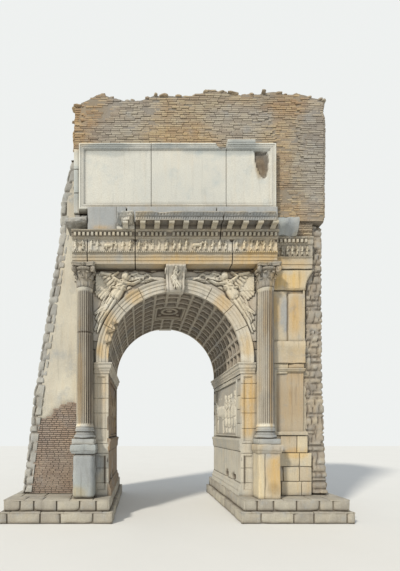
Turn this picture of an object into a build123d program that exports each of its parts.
"""A Roman triumphal arch as it stood in its ruined state: one coffered passage between two piers,
four engaged fluted columns, broken entablature, an attic with a blank inscription panel on each
face, and the later brick and rubble masonry that was built over and around it.

Millimetres. +X runs along the front towards the end with the surviving side bay, +Y goes through
the passage from front to back and +Z is up. The origin is on the ground, under the middle of the
passage. The back face is the mirror image of the front."""

import math
import os

from build123d import *

# Passage, piers and foundation
passage_width = 5360
passage_length = 4750
pier_width = 1270
pier_panel_margin = 110
pier_panel_recess = 45
foundation_height = 900
lower_step_height = 450
lower_step_out = 250
upper_step_out = 120
total_width = 13500

# Impost and arch
impost_height = 420
impost_out = 150
stilt = 190
crown_gap = 910
vault_thickness = 500
archivolt_width = 480
archivolt_out = 165
archivolt_stones = 15
spandrel_relief = 70
spandrel_foot = 700
keystone_width = 780
keystone_foot_width = 660
keystone_out = 480
keystone_drop = 90
seat_clearance = 6

# Coffers of the vault
coffers_round_arch = 17
coffers_through = 9
coffer_rib = 110
coffer_depth = 170
coffer_splay = 60
crown_panel_depth = 130
crown_panel_step = 60
panel_cells = 3

# Relief slabs in the passage
relief_height = 2290
relief_length = 3500
relief_top_gap = 210
relief_recess = 180
relief_slab_depth = 90

# Order: pedestal, column and entablature
pedestal_width = 860
pedestal_height = 2100
pedestal_cap_height = 360
pedestal_cap_out = 60
sound_corner = 60
worn_corner = 150
column_offset = 920
column_standoff = 200
column_base_height = 670
column_base_out = 100
column_radius = 330
column_top_radius = 290
shaft_height = 5480
shaft_collar = 60
flute_count = 24
flute_depth = 28
flute_land = 0.25
capital_height = 900
abacus_width = 960
abacus_height = 130
abacus_hollow = 70
abacus_clip = 75
leaves_in_row = 8
leaf_width = 195
lower_leaf_tip = 95
upper_leaf_tip = 120
volute_radius = 115
volute_width = 110
architrave_height = 460
frieze_height = 470
frieze_out = 500
bed_height = 290
crown_height = 370
cornice_out = 1150
dentil_width = 95
dentil_gap = 70
dentil_height = 130
dentil_out = 75
modillion_spacing = 520
modillion_width = 200
left_overhang = 100
joint_width = 40
entablature_joints = (-3460, -1590, 2200)
cornice_joints = (-1590, 1710)
crown_start = -2300
corner_chip = 110

# Attic, brick and panel
attic_base_height = 610
attic_base_out = 520
attic_joints = (-1920, 1580)
panel_height = 2580
panel_out = 400
panel_frame = 260
panel_recess = 90
panel_joints = (-960, 2000)
panel_hole_size = 520
panel_cap_length = 1100
panel_cap_height = 150
end_strip_width = 250
end_strip_out = 160
stump_out = 560
brick_height = 2470
brick_out = 100
facing_depth = 300

# Side bay and ruined flanks
bay_width = 1450
bay_entablature_width = 1570
bay_entablature_out = 110
bay_stone_height = 690
bay_stone_width = 840
flank_setback = 450
quoin_width = 460
quoin_out = 40
rough_course = 1040
rough_joint = 90
rough_depth = 80
rubble_setback = 130
rubble_width = 680
string_height = 870
string_out = 95
window_width = 1250
window_height = 2710
window_sill = 2450
window_frame = 120
window_recess = 160

pier_face = passage_length / 2
half_passage = passage_width / 2
half_total = total_width / 2
pier_end = half_passage + pier_width
column_x = half_passage + column_offset
column_y = pier_face + column_standoff
pedestal_top = foundation_height + pedestal_height
shaft_bottom = pedestal_top + column_base_height
shaft_top = shaft_bottom + shaft_height
architrave_bottom = shaft_top + capital_height
frieze_bottom = architrave_bottom + architrave_height
cornice_bottom = frieze_bottom + frieze_height
bed_top = cornice_bottom + bed_height
cornice_top = bed_top + crown_height
attic_base_top = cornice_top + attic_base_height
panel_top = attic_base_top + panel_height
crown_z = architrave_bottom - crown_gap
arch_centre_z = crown_z - half_passage
impost_top = arch_centre_z - stilt
impost_bottom = impost_top - impost_height
relief_top = impost_bottom - relief_top_gap
relief_bottom = relief_top - relief_height
extrados = half_passage + vault_thickness
archivolt_outer = half_passage + archivolt_width
core_face = pier_face - facing_depth
core_left = -(pier_end + left_overhang)
bay_end = pier_end + bay_width
bay_entablature_end = pier_end + bay_entablature_width
bay_stone_top = bed_top + bay_stone_height
rubble_end = bay_end + rubble_width
brick_left = core_left - left_overhang
brick_right = rubble_end
pitch_round = (math.pi * half_passage + 2 * stilt) / coffers_round_arch
pitch_through = passage_length / coffers_through


def block(x0, x1, y0, y1, z0, z1):
    """A squared block between two corners."""
    centre = ((x0 + x1) / 2, (y0 + y1) / 2, (z0 + z1) / 2)
    return Pos(*centre) * Box(x1 - x0, y1 - y0, z1 - z0)


def outline(*steps):
    """A closed face from corners. A step with a third value is reached by an arc of that sagitta."""
    edges = []
    for here, there in zip(steps, steps[1:] + steps[:1]):
        start, end = here[:2], there[:2]
        if len(there) == 3:
            edges.append(SagittaArc(start, end, there[2]))
        else:
            edges.append(Line(start, end))
    return make_face(Curve() + edges)


def moulding(profile, out, foot, height, back=0):
    """A section whose profile is given as shares of its projection and its height."""
    steps = [(u * out, foot + v * height, *[s * out for s in sag]) for u, v, *sag in profile]
    return outline((-back, foot), *steps, (-back, foot + height))


def run_along_front(face, x0, x1):
    """Sweeps a section (outward from the pier face, up) along the front from x0 to x1."""
    section = Plane(origin=(x1, -pier_face, 0), x_dir=(0, -1, 0), z_dir=(-1, 0, 0))
    return extrude(section * face, amount=x1 - x0)


def elevation(face, y0, y1):
    """Turns a face drawn in the front elevation (x, z) into a solid from y0 back to y1."""
    front = Plane(origin=(0, y0, 0), x_dir=(1, 0, 0), z_dir=(0, -1, 0))
    return extrude(front * face, amount=-(y1 - y0))


def plan(points, z0, z1):
    """An upright prism over a closed plan outline."""
    face = make_face(Polyline(*points, close=True))
    return extrude(Plane.XY.offset(z0) * face, amount=z1 - z0)


def turned(*rings, sides=flute_count):
    """A turned piece through rings (radius, height), in as many flat sides as the shaft has flutes."""
    courses = []
    for (low, z0), (high, z1) in zip(rings, rings[1:]):
        inset = (low - high) * math.cos(math.pi / sides)
        taper = math.degrees(math.atan2(inset, z1 - z0))
        ring = Plane.XY.offset(z0) * RegularPolygon(low, sides)
        courses.append(extrude(ring, amount=z1 - z0, taper=taper))
    return courses[0] + courses[1:] if len(courses) > 1 else courses[0]


def to_back(shape):
    return mirror(shape, about=Plane.XZ)


def to_left(shape):
    return mirror(shape, about=Plane.YZ)


def solids_of(*shapes):
    """One compound of every solid in the shapes."""
    return Compound(children=[solid for shape in shapes for solid in shape.solids()])


def stones_between(joints, low, high, make):
    """One stone for each length between two ends and the open joints between them."""
    ends = [low]
    for joint in joints:
        ends += [joint - joint_width / 2, joint + joint_width / 2]
    ends.append(high)
    return [make(x0, x1) for x0, x1 in zip(ends[::2], ends[1::2])]


def foundation():
    """Two stepped courses under the right pier and side bay."""
    front = column_y + pedestal_width / 2
    lower = block(
        half_passage - lower_step_out,
        half_total,
        -front - lower_step_out,
        front + lower_step_out,
        0,
        lower_step_height,
    )
    upper = block(
        half_passage - upper_step_out,
        half_total - upper_step_out,
        -front - upper_step_out,
        front + upper_step_out,
        lower_step_height,
        foundation_height,
    )
    return lower + upper


def pier():
    """The right pier up to its impost, with the sunk field for the passage relief and two sunk
    panels beside each column."""
    body = block(
        half_passage, pier_end, -pier_face, pier_face, foundation_height, impost_bottom
    )
    half = relief_length / 2
    deep = half_passage + relief_recess
    body = body - block(half_passage - 1, deep, -half, half, relief_bottom, relief_top)
    m = pier_panel_margin
    left, right = half_passage + m, column_x - column_radius - m
    for z0, z1 in (
        (foundation_height + 2 * m, pedestal_top - pedestal_cap_height - m),
        (pedestal_top + m, impost_bottom - m),
    ):
        sunk = block(left, right, -pier_face - 1, -pier_face + pier_panel_recess, z0, z1)
        body = body - sunk - to_back(sunk)
    return body


def passage_relief():
    """The relief slab sunk in the right wall of the passage; its carving is finished on the stone."""
    back = half_passage + relief_recess
    half = relief_length / 2
    slab = block(back - relief_slab_depth, back, -half, half, relief_bottom, relief_top)
    front = slab.faces().sort_by(Axis.X)[0]
    return chamfer(front.edges(), relief_slab_depth / 4)


impost_profile = (
    (0.2, 0),
    (0.2, 0.21),
    (0.47, 0.36),
    (0.47, 0.45),
    (0.73, 0.6),
    (0.73, 0.79),
    (1, 0.89),
    (1, 1),
)


def impost():
    """The impost on the right pier: its moulding faces the passage and turns on to both fronts,
    where it dies against the columns."""
    face = moulding(impost_profile, impost_out, impost_bottom, impost_height, back=10)
    slab = block(half_passage, pier_end, -pier_face, pier_face, impost_bottom, impost_top)
    reach = pier_face + impost_out
    inner = half_passage - impost_out
    wall = Plane(origin=(half_passage, reach, 0), x_dir=(-1, 0, 0), z_dir=(0, 1, 0))
    side = extrude(wall * face, amount=-2 * reach)
    front = run_along_front(face, inner, column_x - column_radius - seat_clearance)
    mitre = plan(
        (
            (inner, -reach),
            (half_passage, -pier_face),
            (column_x, -pier_face + 20),
            (column_x, -reach - 20),
            (inner, -reach - 20),
        ),
        impost_bottom - 1,
        impost_top + 1,
    )
    side = side - mitre - to_back(mitre)
    front = front & mitre
    return slab + side + front + to_back(front)


def at_angle(degrees):
    """The place at an angle round the arch, with x pointing outwards along the radius."""
    return Pos(0, 0, arch_centre_z) * Rot(0, -degrees, 0)


def ring_sector(inner, outer, start, end):
    """A sector of a ring drawn in the front elevation, between two angles in degrees."""
    half = math.radians(end - start) / 2
    corners = []
    for radius, angle in ((inner, start), (outer, start), (outer, end), (inner, end)):
        turn = math.radians(angle)
        corners.append((radius * math.cos(turn), arch_centre_z + radius * math.sin(turn)))
    corners[2] += (-outer * (1 - math.cos(half)),)
    corners[0] += (inner * (1 - math.cos(half)),)
    return outline(*corners)


def round_angle(length):
    """The angle reached by a length measured along the soffit from the impost."""
    return math.degrees(max(length - stilt, 0) / half_passage)


def pocket(angle, y, across, along, depth, splay):
    """Cuts a coffer with splayed sides, as what two crossing wedges share. It is as wide as asked
    at the soffit, and the cut starts below the soffit so that it clears the curve."""
    below = coffer_rib / 2
    wedges = []
    for plane, width, length in ((Plane.XZ, across, along), (Plane.XY, along, across)):
        wide, narrow = width / 2 + splay * below / depth, width / 2 - splay
        side = outline((-below, -wide), (depth, -narrow), (depth, narrow), (-below, wide))
        wedges.append(extrude(plane * side, amount=length, both=True))
    return at_angle(angle) * Pos(half_passage, y, 0) * (wedges[0] & wedges[1])


def vault_stone(column):
    """One row of the vault, from front to back, with its coffers and its part of the panel."""
    start = round_angle(column * pitch_round)
    end = round_angle((column + 1) * pitch_round)
    if column == coffers_round_arch - 1:
        end = 180
    stone = elevation(ring_sector(half_passage, extrados, start, end), -pier_face, pier_face)
    foot = block(half_passage, extrados, -pier_face, pier_face, impost_top, arch_centre_z)
    if column == 0:
        stone = stone + foot
    if column == coffers_round_arch - 1:
        stone = stone + to_left(foot)
    middle = math.degrees(((column + 0.5) * pitch_round - stilt) / half_passage)
    off_crown = abs(column - coffers_round_arch // 2) > panel_cells // 2
    cutters = []
    for row in range(coffers_through):
        place = row - coffers_through // 2
        if off_crown or abs(place) > panel_cells // 2:
            across, along = pitch_round - coffer_rib, pitch_through - coffer_rib
            y = place * pitch_through
            cutters.append(pocket(middle, y, across, along, coffer_depth, coffer_splay))
    if not off_crown:
        across = panel_cells * pitch_round - coffer_rib
        along = panel_cells * pitch_through - coffer_rib
        for inset, depth in ((0, crown_panel_depth), (coffer_rib, crown_panel_depth * 1.5)):
            sunk = pocket(
                90, 0, across - 2 * inset, along - 2 * inset, depth, crown_panel_step
            )
            cutters.append(sunk)
    return stone - cutters


def coffered_vault():
    """The barrel vault over the passage, built of one long row of stone for each line of coffers."""
    return solids_of(*[vault_stone(column) for column in range(coffers_round_arch)])


archivolt_profile = (
    (0, 0),
    (0, 0.42),
    (0.4, 0.42),
    (0.4, 0.62),
    (0.76, 0.62),
    (0.95, 1),
    (1, 0),
)


def archivolt_section():
    """The section of the archivolt, as shares of its width across and its projection forward."""
    points = [(half_passage + u * archivolt_width, v * archivolt_out) for u, v in archivolt_profile]
    return make_face(Polyline(*points, close=True))


def archivolt():
    """The moulded ring on the front: voussoirs round the arch, with straight feet on the impost."""
    springing = Plane(
        origin=(0, -pier_face, arch_centre_z), x_dir=(1, 0, 0), z_dir=(0, 0, 1)
    )
    section = springing * mirror(archivolt_section(), about=Plane.XZ)
    axis = Axis((0, 0, arch_centre_z), (0, -1, 0))
    step = 180 / archivolt_stones
    stone = revolve(section, axis, step)
    if stone.bounding_box().max.Z < arch_centre_z + 1:
        stone = revolve(section, axis, -step)
    stones = [Pos(0, 0, arch_centre_z) * Rot(0, -step * k, 0) * Pos(0, 0, -arch_centre_z) * stone
              for k in range(archivolt_stones)]
    foot = extrude(section, amount=-stilt)
    stones[0] = stones[0] + foot
    stones[-1] = stones[-1] + to_left(foot)
    return stones


chips = ((168, 250, 420), (159, 330, 560), (151, 220, 300))


def broken_archivolt():
    """The front ring with the pieces lost from the lower edge of its left haunch. Each chip has an
    angle, a width along the edge and a bite across it."""
    stones = archivolt()
    for angle, width, bite in chips:
        place = at_angle(angle) * Pos(half_passage, -pier_face - archivolt_out, 0)
        chip = place * Rot(0, 45, 0) * Box(width, archivolt_out * 1.6, bite)
        stones = [stone - chip for stone in stones]
    return solids_of(*stones)


keystone_profile = (
    (0.45, 0),
    (0.65, 0.2, 0.12),
    (0.55, 0.55, -0.1),
    (1, 0.88, -0.1),
    (1, 1),
)


def keystone():
    """A scrolled console over the crown, wider at the top, under the architrave."""
    foot = crown_z - keystone_drop
    height = architrave_bottom - foot
    side = moulding(keystone_profile, keystone_out, foot, height)
    console = run_along_front(side, -keystone_width / 2, keystone_width / 2)
    taper = outline(
        (-keystone_foot_width / 2, foot),
        (keystone_foot_width / 2, foot),
        (keystone_width / 2, architrave_bottom),
        (-keystone_width / 2, architrave_bottom),
    )
    console = console & elevation(taper, -pier_face - keystone_out - 1, -pier_face)
    seat = ring_sector(half_passage, archivolt_outer, 60, 120)
    below = ring_sector(half_passage / 2, half_passage, 60, 120)
    console = console - elevation(seat, -pier_face - archivolt_out, -pier_face)
    return console - elevation(below, -pier_face, -pier_face + 1)


def spandrel():
    """The slab in the right corner between arch, column and architrave, its top edge broken."""
    inner = keystone_width / 2 + seat_clearance
    outer = column_x - column_radius - seat_clearance
    beside_capital = column_x - abacus_width / 2 - seat_clearance
    low = arch_centre_z + spandrel_foot
    top = architrave_bottom
    face = outline(
        (inner, low),
        (outer, low),
        (outer, shaft_top),
        (beside_capital, shaft_top),
        (beside_capital, top - crown_gap * 0.03),
        (beside_capital - pier_width * 0.5, top - crown_gap * 0.07),
        (inner + pier_width * 0.4, top - crown_gap * 0.05),
        (inner, top - crown_gap * 0.2),
    )
    slab = elevation(face, -pier_face - spandrel_relief, -pier_face)
    clear = archivolt_outer + seat_clearance
    arch = elevation(
        ring_sector(clear / 10, clear, 0, 89) + ring_sector(clear / 10, clear, 89, 179),
        -pier_face - spandrel_relief - 1,
        -pier_face + 1,
    )
    return slab - arch


def haunch_masonry():
    """The mass round the vault, from the imposts to the architrave."""
    mass = outline(
        (extrados, impost_top),
        (pier_end, impost_top),
        (pier_end, architrave_bottom),
        (-pier_end, architrave_bottom),
        (-pier_end, impost_top),
        (-extrados, impost_top),
        (-extrados, arch_centre_z),
        (extrados, arch_centre_z, extrados),
    )
    return elevation(mass, -pier_face, pier_face)


pedestal_cap_profile = (
    (0.88, 0),
    (1, 0.3, 0.02),
    (1, 0.62),
    (0.92, 0.76),
    (0.92, 1),
)


def pedestal(corner):
    """The right front column pedestal: a die with rounded corners under a moulded cap."""
    half = pedestal_width / 2
    front = column_standoff + half
    die_top = pedestal_top - pedestal_cap_height
    die = block(
        column_x - half,
        column_x + half,
        -pier_face - front,
        -pier_face,
        foundation_height,
        die_top,
    )
    die = fillet(die.edges().filter_by(Axis.Z).sort_by(Axis.Y)[:2], corner)
    reach = front + pedestal_cap_out
    cap_face = moulding(pedestal_cap_profile, reach, die_top, pedestal_cap_height)
    cap_half = half + pedestal_cap_out
    return die + run_along_front(cap_face, column_x - cap_half, column_x + cap_half)


def before_pier(shape):
    """Keeps what stands in front of the pier face, at the right front column."""
    far = pedestal_width * 2
    front = block(
        column_x - far, column_x + far, -pier_face - far, -pier_face, 0, panel_top
    )
    return shape & front


def column_base():
    """The moulded base under a shaft: plinth, two tori with a hollow between, cut at the pier."""
    h = column_base_height
    r, wide = column_radius, column_radius + column_base_out
    plinth_top = pedestal_top + h / 3
    plinth = block(
        column_x - wide, column_x + wide, -column_y - wide, -pier_face, pedestal_top, plinth_top
    )
    out = column_base_out
    rings = (
        (r + out * 0.8, 0),
        (r + out * 0.98, 0.2),
        (r + out * 0.7, 0.4),
        (r + out * 0.15, 0.54),
        (r + out * 0.45, 0.68),
        (r + out * 0.45, 0.84),
        (r + out * 0.1, 1),
    )
    height = shaft_bottom - plinth_top
    body = turned(*[(radius, plinth_top + share * height) for radius, share in rings])
    return plinth + before_pier(Pos(column_x, -column_y, 0) * body)


def fluted_section(radius):
    """The shaft in plan: a narrow land between each two flutes, each flute cut in three planes."""
    points = []
    pitch = 360 / flute_count
    floor = radius - flute_depth
    for k in range(flute_count):
        for share, reach in (
            (0, radius),
            (flute_land, radius),
            (flute_land + 0.18, floor),
            (0.82, floor),
        ):
            turn = math.radians((k + share) * pitch)
            points.append((reach * math.cos(turn), reach * math.sin(turn)))
    return make_face(Polyline(*points, close=True))


def shaft():
    """A fluted shaft that narrows upwards, with a plain collar at each end."""
    low = shaft_bottom + shaft_collar
    high = shaft_top - shaft_collar
    fluted = loft(
        [
            Pos(0, 0, low) * fluted_section(column_radius),
            Pos(0, 0, high) * fluted_section(column_top_radius),
        ],
        ruled=True,
    )
    bottom = turned((column_radius, shaft_bottom), (column_radius, low))
    top = turned((column_top_radius, high), (column_top_radius + shaft_collar / 2, shaft_top))
    return before_pier(Pos(column_x, -column_y, 0) * (fluted + bottom + top))


def capital_leaf(height, tip):
    """One leaf of the capital: it rises along the bell and curls outwards at its tip."""
    r = column_top_radius
    side = outline(
        (r - 30, 10),
        (r + tip * 0.45, 10),
        (r + tip, height * 0.82),
        (r + tip * 0.85, height),
        (r - 30, height * 0.9),
    )
    return extrude(Plane.XZ * side, amount=leaf_width / 2, both=True)


def corner_volute(bell_height):
    """A scroll under a corner of the abacus, on the diagonal, with the arm that carries it."""
    r = column_top_radius
    reach = (abacus_width - abacus_clip) / math.sqrt(2) - volute_radius
    section = Plane.XZ * Pos(reach, bell_height - volute_radius) * RegularPolygon(volute_radius, 8)
    scroll = extrude(section, amount=volute_width / 2, both=True)
    arm = Pos((reach + r) / 2, 0, bell_height - volute_radius * 0.4) * Box(
        reach - r * 0.6, volute_width, volute_radius * 0.8
    )
    return scroll + arm


def capital():
    """A composite capital: bell, two rows of leaves, egg ring, corner scrolls and abacus."""
    bell = capital_height - abacus_height
    r = column_top_radius
    flare = abacus_width / 2 - r
    shape = turned(
        (r, 0),
        (r + flare * 0.1, bell * 0.5),
        (r + flare * 0.3, bell * 0.78),
        (r + flare * 0.6, bell * 0.88),
        (r + flare * 0.3, bell),
        sides=flute_count // 2,
    )
    half, cut = abacus_width / 2, abacus_width / 2 - abacus_clip
    hollow = abacus_hollow - half
    side = ((-half, -cut), (-cut, -half), (-cut / 2, hollow), (cut / 2, hollow))
    corners = []
    for k in range(4):
        turn = math.radians(90 * k)
        corners += [
            (x * math.cos(turn) - y * math.sin(turn), x * math.sin(turn) + y * math.cos(turn))
            for x, y in side
        ]
    shape = shape + plan(corners, bell, bell + abacus_height)
    turn = 360 / leaves_in_row
    for row, (share, tip) in enumerate(((0.4, lower_leaf_tip), (0.68, upper_leaf_tip))):
        leaf = capital_leaf(bell * share, tip)
        for k in range(leaves_in_row):
            shape = shape + Rot(0, 0, turn * (k + row / 2)) * leaf
    for k in range(4):
        shape = shape + Rot(0, 0, 45 + 90 * k) * corner_volute(bell)
    return before_pier(Pos(column_x, -column_y, shaft_top) * shape)


architrave_profile = (
    (0.92, 0),
    (0.92, 0.26),
    (0.96, 0.26),
    (0.96, 0.54),
    (1, 0.54),
    (1, 0.8),
    (1.09, 0.94, -0.02),
    (1.09, 1),
)


def entablature_stone(x0, x1):
    """Architrave of three fasciae with a plain frieze above it."""
    section = moulding(
        architrave_profile, frieze_out, architrave_bottom, architrave_height, facing_depth
    )
    stone = run_along_front(section, x0, x1)
    front = -pier_face - frieze_out
    return stone + block(x0, x1, front, -core_face, frieze_bottom, cornice_bottom)


def chip_at(x):
    """The wedge lost from a stone's upper front corner at x."""
    c = corner_chip
    wedge = outline(
        (x - c, cornice_bottom),
        (x, cornice_bottom - 1.6 * c),
        (x + c, cornice_bottom),
        (x, cornice_bottom + c),
    )
    return elevation(wedge, -pier_face - frieze_out - 1, -pier_face - frieze_out + c)


def entablature():
    """The long blocks over the passage, with open joints and chipped corners."""
    stones = stones_between(entablature_joints, core_left, pier_end, entablature_stone)
    half_joint = joint_width / 2
    stones[2] = stones[2] - chip_at(entablature_joints[1] + half_joint)
    stones[2] = stones[2] - chip_at(entablature_joints[2] - half_joint)
    stones[3] = stones[3] - chip_at(pier_end)
    return solids_of(*stones)


bed_profile = (
    (0.75, 0),
    (0.83, 0.2, -0.02),
    (0.83, 0.28),
    (0.86, 0.28),
    (0.86, 0.73),
    (1, 1, 0.02),
)
crown_profile = (
    (0.61, 0),
    (0.61, 0.35),
    (0.9, 0.35),
    (0.9, 0.65),
    (0.94, 0.65),
    (1, 0.92, 0.02),
    (1, 1),
)
bed_out = 680


def dentils(x0, x1, face, low):
    """The row of small square teeth between x0 and x1, in front of a face at y."""
    pitch = dentil_width + dentil_gap
    count = int((x1 - x0 - dentil_gap) // pitch)
    start = (x0 + x1 - count * pitch + dentil_gap) / 2
    lefts = [start + k * pitch for k in range(count)]
    return [
        block(left, left + dentil_width, face - dentil_out, face, low, low + dentil_height)
        for left in lefts
    ]


def modillions(x0, x1):
    """The brackets that carry the corona between x0 and x1."""
    depth = crown_profile[1][1] * crown_height
    inner, outer = crown_profile[0][0] * cornice_out, crown_profile[2][0] * cornice_out
    section = outline(
        (inner, bed_top),
        (inner + (outer - inner) * 0.4, bed_top + depth * 0.2),
        (outer - joint_width, bed_top + depth * 0.45),
        (outer - joint_width, bed_top + depth),
        (inner, bed_top + depth),
    )
    count = max(1, round((x1 - x0) / modillion_spacing))
    pitch = (x1 - x0) / count
    middles = [x0 + (k + 0.5) * pitch for k in range(count)]
    half = modillion_width / 2
    return [run_along_front(section, middle - half, middle + half) for middle in middles]


def cornice_stone(x0, x1):
    """One stone of the cornice. Left of the crown's start only the bed mould is left."""
    bed = moulding(bed_profile, bed_out, cornice_bottom, bed_height, facing_depth)
    stone = run_along_front(bed, x0, x1)
    low = cornice_bottom + bed_profile[3][1] * bed_height
    stone = stone + dentils(x0, x1, -pier_face - bed_profile[3][0] * bed_out, low)
    crown = moulding(crown_profile, cornice_out, bed_top, crown_height, facing_depth)
    start = max(x0, crown_start)
    return stone + run_along_front(crown, start, x1) + modillions(start, x1)


def cornice():
    """The cornice stones that survive, the right end broken back on a slant."""
    stones = stones_between(cornice_joints, core_left, pier_end, cornice_stone)
    lost = plan(
        (
            (pier_end - corner_chip * 3, -pier_face - cornice_out - 1),
            (pier_end + 1, -pier_face - frieze_out - dentil_out),
            (pier_end + 1, -pier_face - cornice_out - 1),
        ),
        cornice_bottom - 1,
        cornice_top + 1,
    )
    stones[-1] = stones[-1] - lost
    return solids_of(*stones)


def cornice_repair():
    """The plain block set in place of the lost cornice, and the broken shelf left of it."""
    gap = joint_width / 2
    left = entablature_joints[0] + gap
    plain = outline(
        (left, bed_top),
        (crown_start, bed_top),
        (crown_start, cornice_top),
        (attic_joints[0] - gap, cornice_top),
        (attic_joints[0] - gap, attic_base_top),
        (left, attic_base_top),
    )
    front = -pier_face - attic_base_out
    plain_stone = elevation(plain, front, -core_face)
    right = entablature_joints[0] - gap
    shelf = outline(
        (brick_left - left_overhang, cornice_top),
        (right, cornice_top - corner_chip / 2),
        (right, attic_base_top - attic_base_height * 0.35),
        (core_left, attic_base_top - attic_base_height * 0.4),
        (brick_left, attic_base_top - attic_base_height * 0.6),
    )
    shelf_stone = elevation(shelf, -pier_face - stump_out, -core_face)
    rubble = block(core_left, right, -pier_face - brick_out, -core_face, bed_top, attic_base_top)
    return solids_of(plain_stone, shelf_stone + rubble)


def attic_base():
    """The plain course over the cornice that carries the inscription panel."""
    front = -pier_face - attic_base_out
    low, high = cornice_top, attic_base_top
    return solids_of(
        *stones_between(
            attic_joints[1:],
            attic_joints[0] + joint_width / 2,
            pier_end,
            lambda x0, x1: block(x0, x1, front, -core_face, low, high),
        )
    )


def upper_core():
    """The masonry behind the entablature and attic facings."""
    return block(core_left, pier_end, -core_face, core_face, architrave_bottom, panel_top)


def inscription_panel():
    """Three large slabs with one moulded frame round a sunk, blank field, a narrow slab at the left
    end and a low block left lying on the right slab. A piece is lost from the field's upper right
    corner and from the top of the frame."""
    front = -pier_face - panel_out
    left, right = core_left + end_strip_width, pier_end
    field_right, field_top = right - panel_frame, panel_top - panel_frame
    frame_steps = ((panel_frame * 0.45, panel_recess * 0.35), (panel_frame, panel_recess))
    size = panel_hole_size
    hole = outline(
        (field_right - size, field_top),
        (field_right, field_top),
        (field_right, field_top - size * 2),
        (field_right - size * 0.8, field_top - size, -size * 0.15),
    )
    lost = [elevation(hole, front, front + panel_recess * 2)]
    notch_x = panel_joints[1]
    notch = outline(
        (notch_x - corner_chip * 2, panel_top + 1),
        (notch_x, panel_top - corner_chip * 2),
        (notch_x + corner_chip * 0.2, panel_top + 1),
    )
    lost.append(elevation(notch, front - 1, front + panel_frame))
    for inset, sink in frame_steps:
        sunk = block(
            left + inset,
            right - inset,
            front - 1,
            front + sink,
            attic_base_top + inset,
            panel_top - inset,
        )
        lost.append(sunk)

    def slab(x0, x1):
        return block(x0, x1, front, -core_face, attic_base_top, panel_top) - lost

    strip = block(
        core_left,
        left - seat_clearance,
        -pier_face - end_strip_out,
        -core_face,
        attic_base_top,
        panel_top,
    )
    slabs = stones_between(panel_joints, left, right, slab)
    cap_left = panel_joints[1] + joint_width
    slabs[-1] = slabs[-1] + block(
        cap_left,
        cap_left + panel_cap_length,
        front,
        -pier_face - brick_out,
        panel_top,
        panel_top + panel_cap_height,
    )
    return solids_of(strip, *slabs)


brick_crest = (0.3, 0.12, 0.22, 0.06, 0.1, 0.0, 0.09, 0.03, 0.08, 0.16)


def brick_mass():
    """The later brickwork over the attic and down over the side bay. Its crest is broken: each
    drop is a share of the height above the panel, at even steps from left to right."""
    step = (brick_right - brick_left) / (len(brick_crest) - 1)
    top = panel_top + brick_height
    crest = [
        (brick_left + k * step, top - drop * brick_height) for k, drop in enumerate(brick_crest)
    ]
    face = outline(
        (brick_left, panel_top),
        (pier_end, panel_top),
        (pier_end, bay_stone_top),
        (brick_right, bay_stone_top),
        *reversed(crest),
    )
    return elevation(face, -pier_face - brick_out, pier_face + brick_out)


# Broken outer edge of the side bay: how far each course stops before or beyond the bay's end
bay_courses = ((0.0, 160), (0.19, 0), (0.49, -150), (0.69, 120), (0.91, 200))


def bay_edge():
    """The stepped outer edge of the side bay's ashlar, from the foundation to the architrave."""
    height = architrave_bottom - foundation_height
    tops = [share for share, _ in bay_courses[1:]] + [1]
    points = []
    for (low, offset), high in zip(bay_courses, tops):
        for share in (low, high):
            points.append((bay_end + offset, foundation_height + share * height))
    return points


def bay_wall():
    """The side bay right of the columns: ashlar with a string course and a sunk blind window on
    each face, broken off in steps at its outer edge."""
    face = outline(
        (pier_end, foundation_height), *bay_edge(), (pier_end, architrave_bottom)
    )
    wall = elevation(face, -pier_face, pier_face)
    string = moulding(
        ((0.58, 0.0), (0.58, 0.65), (1, 0.75, 0.1), (1, 0.93), (0.7, 1)),
        string_out,
        impost_top,
        string_height,
    )
    reach = bay_end + min(offset for _, offset in bay_courses)
    start = column_x + column_radius + 4 * seat_clearance
    string = run_along_front(string, start, reach)
    low = foundation_height + window_sill
    right = reach
    left = right - window_width + window_frame
    high = low + window_height
    frame_out = string_out * 0.6
    frame = block(left - window_frame, right, -pier_face - frame_out, -pier_face, low, high)
    niche = block(
        left,
        bay_end + window_width,
        -pier_face - string_out,
        -pier_face + window_recess,
        low + window_frame,
        high - window_frame,
    )
    wall = wall + frame + to_back(frame) + string + to_back(string)
    return wall - niche - to_back(niche)


bay_profile = (
    (0.4, 0),
    (0.4, 0.13),
    (0.5, 0.13),
    (0.5, 0.35),
    (0.68, 0.37),
    (0.5, 0.38),
    (0.5, 0.76),
    (0.72, 0.8),
    (0.72, 0.93),
    (1, 1),
)


def bay_entablature():
    """The set-back entablature over the side bay: fasciae, frieze, dentils and one cornice stone."""
    out = bay_entablature_out * 2
    height = bed_top - architrave_bottom
    section = moulding(bay_profile, out, architrave_bottom, height, facing_depth)
    stone = run_along_front(section, pier_end, bay_entablature_end)
    low = architrave_bottom + bay_profile[7][1] * height
    face = -pier_face - bay_profile[7][0] * out
    teeth = dentils(
        pier_end + joint_width, bay_entablature_end - pedestal_width / 2, face, low
    )
    crown = moulding(
        ((0.5, 0), (0.95, 0.4, -0.1), (1, 0.75), (0.65, 1, 0.1)),
        bay_entablature_out * 5,
        bed_top,
        bay_stone_height,
        facing_depth,
    )
    crown_stone = run_along_front(crown, pier_end, pier_end + bay_stone_width)
    return stone + teeth + crown_stone


# Where the upright joints stand in two courses of rough stones, as shares of the half thickness
rough_breaks = ((-0.62, 0.05, 0.55), (-0.4, 0.4))


def edge_at(points, z):
    """How far out a battered edge stands at a height. Its points run upwards."""
    for (x0, z0), (x1, z1) in zip(points, points[1:]):
        if z <= z1:
            return x0 + (x1 - x0) * (z - z0) / (z1 - z0)
    return points[-1][0]


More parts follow.
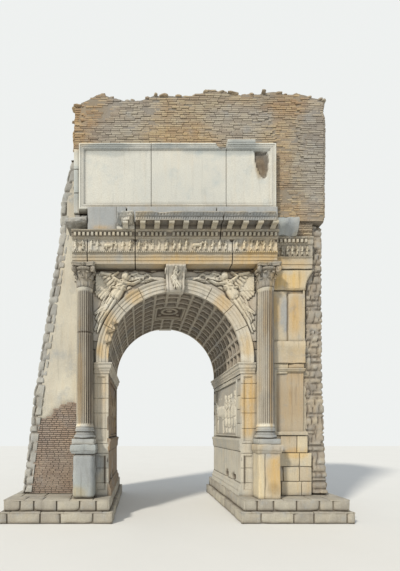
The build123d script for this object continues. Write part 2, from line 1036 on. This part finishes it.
def rough_stones(edge, half, wall):
    """Large stones that stand out of the end of a ruined wall, in courses up its battered edge.
    They reach in towards the wall's plane at x, and stop at it."""
    low, high = edge[0][1], edge[-1][1]
    count = round((high - low) / rough_course)
    pitch = (high - low) / count
    gap = rough_joint / 2
    stones = []
    for k in range(count):
        z0, z1 = low + k * pitch + gap, low + (k + 1) * pitch - gap
        x0, x1 = edge_at(edge, z0), edge_at(edge, z1)
        deep = quoin_width * (0.85 if k % 2 else 0.6)
        backs = [x - math.copysign(min(deep, abs(x - wall)), x) for x in (x1, x0)]
        face = outline((x0, z0), (x1, z1), (backs[0], z1), (backs[1], z0))
        breaks = [share * half for share in rough_breaks[k % 2]]
        ends = [-half]
        for y in breaks:
            ends += [y - gap, y + gap]
        ends.append(half)
        stones += [elevation(face, y0, y1) for y0, y1 in zip(ends[::2], ends[1::2])]
    return stones


def right_flank():
    """Rubble beyond the broken ashlar of the side bay, and in its thickness above the bay."""
    foot = half_total - upper_step_out - lower_step_out
    height = bay_stone_top - foundation_height
    edge = [
        (foot, foundation_height),
        (foot - rubble_width * 0.2, foundation_height + height * 0.12),
        (rubble_end + rubble_width * 0.05, foundation_height + height * 0.5),
        (rubble_end, bay_stone_top),
    ]
    face = outline(
        *bay_edge(),
        (pier_end, architrave_bottom),
        (pier_end, bay_stone_top),
        *[(x - rough_depth, z) for x, z in reversed(edge)],
    )
    front = pier_face - rubble_setback
    bed = front - quoin_out
    mass = elevation(face, -bed, bed) + rough_stones(edge, front, pier_end)
    seat = block(
        pier_end - 1,
        bay_entablature_end,
        -pier_face - 1,
        -core_face,
        architrave_bottom,
        bay_stone_top + 1,
    )
    return mass - seat - to_back(seat)


# Battered edge of the left flank, from the ground up: shares of the flank's height and width
flank_edge = ((0, 1), (0.3, 0.78), (0.6, 0.5), (0.78, 0.32), (0.88, 0.3), (1, 0.1))


def flank_points(shift=0):
    """The left flank's outer edge, moved in towards the arch by a shift."""
    foot = half_total - upper_step_out - pier_end - lower_step_out
    height = panel_top - foundation_height
    width = foot - left_overhang
    return [
        (core_left - share * width + shift, foundation_height + level * height)
        for level, share in flank_edge
    ]


def flank_wall():
    """The plastered rubble wall left of the arch, set back from the pier face."""
    edge = flank_points(quoin_width)[:-2]
    y = pier_face - flank_setback
    face = outline(
        (-pier_end, foundation_height),
        *edge,
        (core_left, edge[-1][1]),
        (core_left, architrave_bottom),
        (-pier_end, architrave_bottom),
    )
    return elevation(face, -y, y)


def flank_quoins():
    """The bare stones along the battered left edge of the flank, up beside the attic."""
    inner = flank_points(quoin_width)[:-2]
    y = pier_face - flank_setback
    face = outline(
        *flank_points(rough_depth),
        (core_left, panel_top),
        (core_left, inner[-1][1]),
        *reversed(inner),
    )
    return elevation(face, -y, y) + rough_stones(flank_points(), y + quoin_out, core_left)


def main():
    os.makedirs("parts", exist_ok=True)
    right_foundation, right_pier, right_impost = foundation(), pier(), impost()
    right_relief, right_spandrel = passage_relief(), spandrel()
    base, column, cap = column_base(), shaft(), capital()
    worn, sound = pedestal(worn_corner), pedestal(sound_corner)
    console, front_entablature, front_cornice = keystone(), entablature(), cornice()
    panel, base_course, repair = inscription_panel(), attic_base(), cornice_repair()
    spandrels = solids_of(right_spandrel, to_left(right_spandrel))
    bases = solids_of(base, to_left(base))
    bay = bay_entablature()
    pieces = {
        "left_foundation": to_left(right_foundation),
        "right_foundation": right_foundation,
        "left_pier": to_left(right_pier),
        "right_pier": right_pier,
        "left_passage_relief": to_left(right_relief),
        "right_passage_relief": right_relief,
        "left_impost": to_left(right_impost),
        "right_impost": right_impost,
        "coffered_vault": coffered_vault(),
        "haunch_masonry": haunch_masonry(),
        "front_archivolt": broken_archivolt(),
        "back_archivolt": to_back(solids_of(*archivolt())),
        "front_keystone": console,
        "back_keystone": to_back(console),
        "front_spandrels": spandrels,
        "back_spandrels": to_back(spandrels),
        "front_left_pedestal": to_left(worn),
        "front_right_pedestal": sound,
        "back_left_pedestal": to_back(to_left(worn)),
        "back_right_pedestal": to_back(sound),
        "column_bases": solids_of(bases, to_back(bases)),
        "front_left_shaft": to_left(column),
        "front_right_shaft": column,
        "back_left_shaft": to_back(to_left(column)),
        "back_right_shaft": to_back(column),
        "front_left_capital": to_left(cap),
        "front_right_capital": cap,
        "back_left_capital": to_back(to_left(cap)),
        "back_right_capital": to_back(cap),
        "front_entablature": front_entablature,
        "back_entablature": to_back(front_entablature),
        "front_cornice": front_cornice,
        "back_cornice": to_back(front_cornice),
        "cornice_repairs": solids_of(repair, to_back(repair)),
        "upper_core": upper_core(),
        "front_attic_base": base_course,
        "back_attic_base": to_back(base_course),
        "front_inscription_panel": panel,
        "back_inscription_panel": to_back(panel),
        "brick_mass": brick_mass(),
        "left_flank_wall": flank_wall(),
        "left_flank_quoins": flank_quoins(),
        "right_bay_wall": bay_wall(),
        "right_bay_entablature": solids_of(bay, to_back(bay)),
        "right_flank": right_flank(),
    }
    for name, shape in pieces.items():
        export_step(shape, f"parts/{name}.step")


main()
